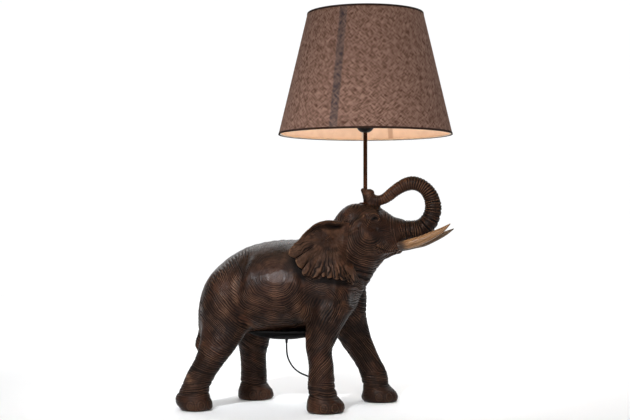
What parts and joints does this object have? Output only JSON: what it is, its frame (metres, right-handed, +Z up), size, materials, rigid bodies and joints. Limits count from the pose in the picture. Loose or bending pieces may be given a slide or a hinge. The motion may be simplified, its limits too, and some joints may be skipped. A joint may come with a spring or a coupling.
{
  "type": "figural table lamp",
  "caption": "Table lamp on a striding elephant figure with raised trunk: a slim rod from its head carries a tapered fabric shade over a screw-in bulb.",
  "frame": {"origin": "on the surface the lamp stands on, under the middle of the lamp's outline seen from above; the rod is at X = +89.5 mm", "axes": "+X towards the raised trunk (the elephant's front), +Y to the elephant's left, +Z up along the rod"},
  "size_m": [0.516, 0.33, 0.745],
  "materials": {
    "resin": "semi-gloss stained brown cast resin, carved look",
    "tusk_resin": "satin tan cast resin with a wood-like grain",
    "black_plastic": "fine matt moulding",
    "clamp_plastic": "plain moulding",
    "screw_steel": "zinc plated",
    "felt": "dark felt",
    "bronze_paint": "brown bronze paint, satin",
    "zinc_steel": "zinc plated",
    "ceramic": "white glazed insulator",
    "brass": "plain brass",
    "nickel_brass": "nickel plated",
    "shade_linen": "taupe linen weave",
    "shade_lining": "translucent cream lining",
    "trim_cloth": "dark brown binding tape",
    "white_wire": "white coated wire",
    "opal_glass": "opal white",
    "bulb_black_glass": "black insulating glass",
    "cord_sheath": "black flexible sheath",
    "tie": "plain strip"
  },
  "bodies": {
    "root": {"elephant_body": "resin", "ear_right": "resin", "ear_left": "resin", "tusk_right": "tusk_resin", "tusk_left": "tusk_resin", "belly_cover": "black_plastic", "cord_gland": "black_plastic", "holder_cap": "black_plastic", "holder_skirt": "black_plastic", "shade_ring_lower": "black_plastic", "cord_clamp": "clamp_plastic", "cover_screws": "screw_steel", "clamp_screws": "screw_steel", "foot_pads": "felt", "rod": "bronze_paint", "rod_flange": "bronze_paint", "rod_washer": "zinc_steel", "rod_nut": "zinc_steel", "holder_core": "ceramic", "terminal_screws": "brass", "holder_contact": "brass", "plug_pins": "brass", "holder_shell": "nickel_brass", "inner_lead": "cord_sheath", "cord_lead": "cord_sheath", "cord_tail": "cord_sheath", "cord_coil": "cord_sheath", "plug_body": "cord_sheath", "plug_relief": "cord_sheath", "coil_tie": "tie"},
    "shade": {"shade_fabric": "shade_linen", "shade_lining": "shade_lining", "trim_bottom": "trim_cloth", "trim_top": "trim_cloth", "shade_top_wire": "white_wire", "shade_low_wire": "white_wire", "shade_spider": "white_wire"},
    "ring_nut": {"shade_ring_nut": "black_plastic"},
    "bulb": {"bulb_glass": "opal_glass", "bulb_cap": "nickel_brass", "bulb_insulator": "bulb_black_glass", "bulb_contact": "brass"},
    "switch": {"switch_spindle": "zinc_steel", "switch_knob": "black_plastic"}
  },
  "joints": [
    {"name": "shade_turn", "type": "hinge", "parent": "root", "child": "shade", "pos_m": [0.0895, 0, 0.5619], "axis": [0, 0, 1], "continuous": true},
    {"name": "ring_nut_turn", "type": "hinge", "parent": "root", "child": "ring_nut", "pos_m": [0.0895, 0, 0.5668], "axis": [0, 0, 1], "continuous": true},
    {"name": "bulb_turn", "type": "hinge", "parent": "root", "child": "bulb", "pos_m": [0.0895, 0, 0.565], "axis": [0, 0, 1], "continuous": true},
    {"name": "switch_turn", "type": "hinge", "parent": "root", "child": "switch", "pos_m": [0.1165, 0, 0.543], "axis": [1, 0, 0], "continuous": true}
  ]
}
